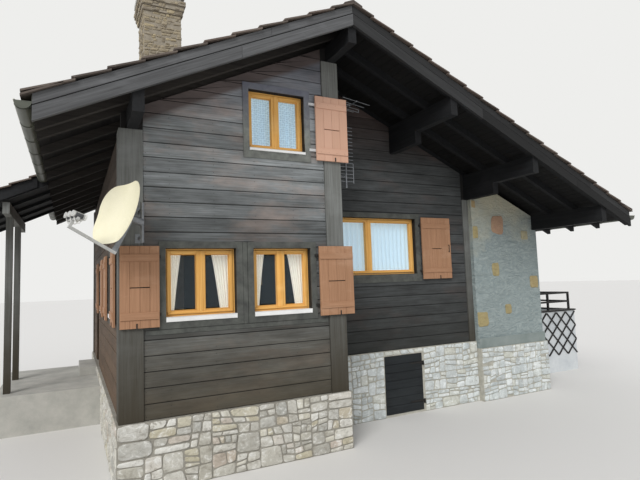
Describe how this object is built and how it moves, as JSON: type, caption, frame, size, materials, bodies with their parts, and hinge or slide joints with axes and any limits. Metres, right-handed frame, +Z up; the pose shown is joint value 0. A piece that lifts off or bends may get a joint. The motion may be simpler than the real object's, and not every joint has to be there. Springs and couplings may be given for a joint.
{
  "type": "alpine chalet",
  "caption": "Timber alpine chalet on a rubble base, with an open-eaved purlin roof, folded-back shutters, a porch, a side terrace and a small hinged cellar door.",
  "frame": {"origin": "middle of the house's plan on the underside of the cellar floor", "axes": "+X to the right along the gable front, +Y into the house from the front, +Z up"},
  "size_m": [13.72, 9.525, 8.19],
  "materials": {
    "concrete": "float-finished concrete",
    "rubble": "limestone rubble in grey-beige mortar",
    "floor_timber": "planed boards",
    "weathered_boards": "dark stained boards, weathered",
    "weathered_posts": "dark stained posts, weathered grey",
    "dark_beams": "dark stained rough timber",
    "rough_render": "rough trowelled cement render",
    "roof_tiles": "flat brown tiles, weathered",
    "grey_boards": "verge boards weathered silver-grey",
    "zinc": "weathered sheet",
    "chimney_masonry": "small brown stones in mortar",
    "varnished_wood": "honey-coloured varnish",
    "window_glass": "clear double glazing",
    "pale_sills": "white painted",
    "shutter_paint": "salmon-brown paint on boards",
    "dark_door": "dark stained boards",
    "black_iron": "forged iron, painted black",
    "door_wood": "brown stained boards",
    "white_render": "white painted render",
    "dish_cream": "aged cream powder coat",
    "dish_grey": "moulded housings",
    "galvanised": "galvanised tube and bar"
  },
  "bodies": {
    "house": {"cellar_floor": "concrete", "stone_base_front_left": "rubble", "stone_base_front_mid": "rubble", "stone_base_front_right": "rubble", "cellar_door_surround": "rubble", "stone_base_left": "rubble", "stone_base_right": "rubble", "stone_base_back": "rubble", "ground_floor": "floor_timber", "upper_floor": "floor_timber", "timber_wall_front_left": "weathered_boards", "timber_wall_return": "weathered_boards", "timber_wall_front_right": "weathered_boards", "timber_wall_left": "weathered_boards", "timber_wall_back": "weathered_boards", "rendered_wall_front": "rough_render", "rendered_wall_right": "rough_render", "corner_posts": "weathered_posts", "purlins": "dark_beams", "purlin_corbels": "dark_beams", "rafters_left": "dark_beams", "rafters_right": "dark_beams", "roof_boarding_left": "dark_beams", "roof_boarding_right": "dark_beams", "roof_cover_left": "roof_tiles", "roof_cover_right": "roof_tiles", "ridge_caps": "roof_tiles", "barge_boards": "grey_boards", "gutters": "zinc", "downpipes": "zinc", "chimney_stack": "chimney_masonry", "chimney_cover": "concrete", "window_frames": "varnished_wood", "window_glass": "window_glass", "window_casings": "dark_beams", "window_sills": "pale_sills", "shutters": "shutter_paint", "cellar_door_pintles": "black_iron", "entrance_door": "door_wood", "porch_floor": "concrete", "porch_posts": "weathered_posts", "porch_roof_frame": "dark_beams", "porch_roof_cover": "roof_tiles", "terrace_masonry": "white_render", "terrace_coping": "dark_door", "terrace_trellis": "dark_door", "terrace_railing": "dark_door", "dish_reflector": "dish_cream", "dish_feed": "dish_grey", "dish_bracket": "galvanised", "wall_aerial": "galvanised"},
    "cellar_door_leaf": {"cellar_door": "dark_door"}
  },
  "joints": [
    {"name": "cellar_door_hinge", "type": "hinge", "parent": "house", "child": "cellar_door_leaf", "pos_m": [1.065, -3.0475, 0.3], "axis": [0, 0, 1], "range_deg": [0, 100]}
  ]
}
